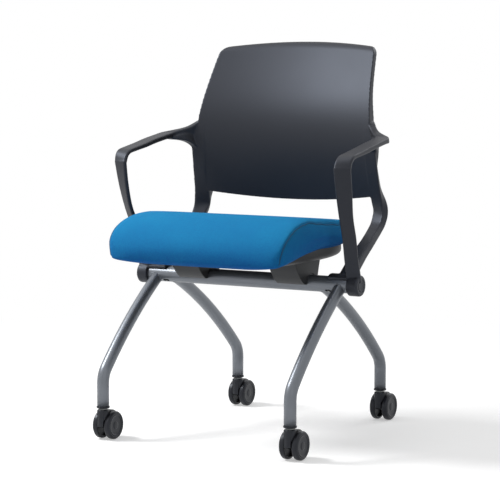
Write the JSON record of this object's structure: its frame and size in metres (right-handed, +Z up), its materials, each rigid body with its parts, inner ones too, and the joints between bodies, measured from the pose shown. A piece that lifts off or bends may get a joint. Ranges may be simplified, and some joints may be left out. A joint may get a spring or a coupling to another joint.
{
  "type": "nesting chair",
  "caption": "Nesting chair with a tip-up upholstered seat, a moulded back that runs into looped armrests, bent tube legs and twin-wheel casters.",
  "frame": {"origin": "on the floor under the middle of the chair's bounding box", "axes": "+Z up, -Y towards the front of the seat, +X towards the right when the chair is seen from its front"},
  "size_m": [0.5656, 0.5504, 0.8262],
  "materials": {
    "plastic": "satin, fine grain",
    "shoe": "matte",
    "nylon": "satin",
    "wheel": "semi-gloss",
    "steel": "satin silver paint",
    "zinc": "zinc plated",
    "fabric": "woven",
    "ply": "raw plywood"
  },
  "bodies": {
    "frame": {"cross_tube": "steel", "leg_front_left": "steel", "leg_front_right": "steel", "leg_rear_left": "steel", "leg_rear_right": "steel", "leg_bush_front_left": "nylon", "leg_bush_front_right": "nylon", "leg_bush_rear_left": "nylon", "leg_bush_rear_right": "nylon", "caster_stem_front_left": "zinc", "caster_stem_front_right": "zinc", "caster_stem_rear_left": "zinc", "caster_stem_rear_right": "zinc", "arm_left": "plastic", "arm_right": "plastic", "tube_plug_left": "nylon", "tube_plug_right": "nylon", "plug_screw_left": "zinc", "plug_screw_right": "zinc", "hub_bolt_left": "zinc", "hub_bolt_right": "zinc", "hub_cap_left": "plastic", "hub_cap_right": "plastic", "stop_lug_left": "steel", "stop_lug_right": "steel", "back_shell": "plastic"},
    "seat": {"seat_cushion": "fabric", "seat_board": "ply", "seat_pan": "shoe", "hinge_shoe_left": "shoe", "hinge_shoe_right": "shoe", "hinge_liner_left": "nylon", "hinge_liner_right": "nylon"},
    "caster_front_left": {"caster_hood_front_left": "nylon", "caster_axle_front_left": "zinc"},
    "caster_front_right": {"caster_hood_front_right": "nylon", "caster_axle_front_right": "zinc"},
    "caster_rear_left": {"caster_hood_rear_left": "nylon", "caster_axle_rear_left": "zinc"},
    "caster_rear_right": {"caster_hood_rear_right": "nylon", "caster_axle_rear_right": "zinc"},
    "roller_front_left_inner": {"wheel_front_left_inner": "wheel"},
    "roller_front_left_outer": {"wheel_front_left_outer": "wheel"},
    "roller_front_right_inner": {"wheel_front_right_inner": "wheel"},
    "roller_front_right_outer": {"wheel_front_right_outer": "wheel"},
    "roller_rear_left_inner": {"wheel_rear_left_inner": "wheel"},
    "roller_rear_left_outer": {"wheel_rear_left_outer": "wheel"},
    "roller_rear_right_inner": {"wheel_rear_right_inner": "wheel"},
    "roller_rear_right_outer": {"wheel_rear_right_outer": "wheel"}
  },
  "joints": [
    {"name": "seat_tip", "type": "hinge", "parent": "frame", "child": "seat", "pos_m": [0, -0.0418, 0.3292], "axis": [-1, 0, 0], "range_deg": [0, 55]},
    {"name": "swivel_front_left", "type": "hinge", "parent": "frame", "child": "caster_front_left", "pos_m": [-0.2222, -0.2612, 0.0618], "axis": [0, 0, 1], "continuous": true},
    {"name": "swivel_front_right", "type": "hinge", "parent": "frame", "child": "caster_front_right", "pos_m": [0.2222, -0.2612, 0.0618], "axis": [0, 0, 1], "continuous": true},
    {"name": "swivel_rear_left", "type": "hinge", "parent": "frame", "child": "caster_rear_left", "pos_m": [-0.1806, 0.2252, 0.0618], "axis": [0, 0, 1], "continuous": true},
    {"name": "swivel_rear_right", "type": "hinge", "parent": "frame", "child": "caster_rear_right", "pos_m": [0.1806, 0.2252, 0.0618], "axis": [0, 0, 1], "continuous": true},
    {"name": "roll_front_left_inner", "type": "hinge", "parent": "caster_front_left", "child": "roller_front_left_inner", "pos_m": [-0.2222, -0.2435, 0.0295], "axis": [1, 0, 0], "continuous": true},
    {"name": "roll_front_left_outer", "type": "hinge", "parent": "caster_front_left", "child": "roller_front_left_outer", "pos_m": [-0.2222, -0.2435, 0.0295], "axis": [1, 0, 0], "continuous": true},
    {"name": "roll_front_right_inner", "type": "hinge", "parent": "caster_front_right", "child": "roller_front_right_inner", "pos_m": [0.2222, -0.2435, 0.0295], "axis": [1, 0, 0], "continuous": true},
    {"name": "roll_front_right_outer", "type": "hinge", "parent": "caster_front_right", "child": "roller_front_right_outer", "pos_m": [0.2222, -0.2435, 0.0295], "axis": [1, 0, 0], "continuous": true},
    {"name": "roll_rear_left_inner", "type": "hinge", "parent": "caster_rear_left", "child": "roller_rear_left_inner", "pos_m": [-0.1806, 0.2429, 0.0295], "axis": [1, 0, 0], "continuous": true},
    {"name": "roll_rear_left_outer", "type": "hinge", "parent": "caster_rear_left", "child": "roller_rear_left_outer", "pos_m": [-0.1806, 0.2429, 0.0295], "axis": [1, 0, 0], "continuous": true},
    {"name": "roll_rear_right_inner", "type": "hinge", "parent": "caster_rear_right", "child": "roller_rear_right_inner", "pos_m": [0.1806, 0.2429, 0.0295], "axis": [1, 0, 0], "continuous": true},
    {"name": "roll_rear_right_outer", "type": "hinge", "parent": "caster_rear_right", "child": "roller_rear_right_outer", "pos_m": [0.1806, 0.2429, 0.0295], "axis": [1, 0, 0], "continuous": true}
  ]
}
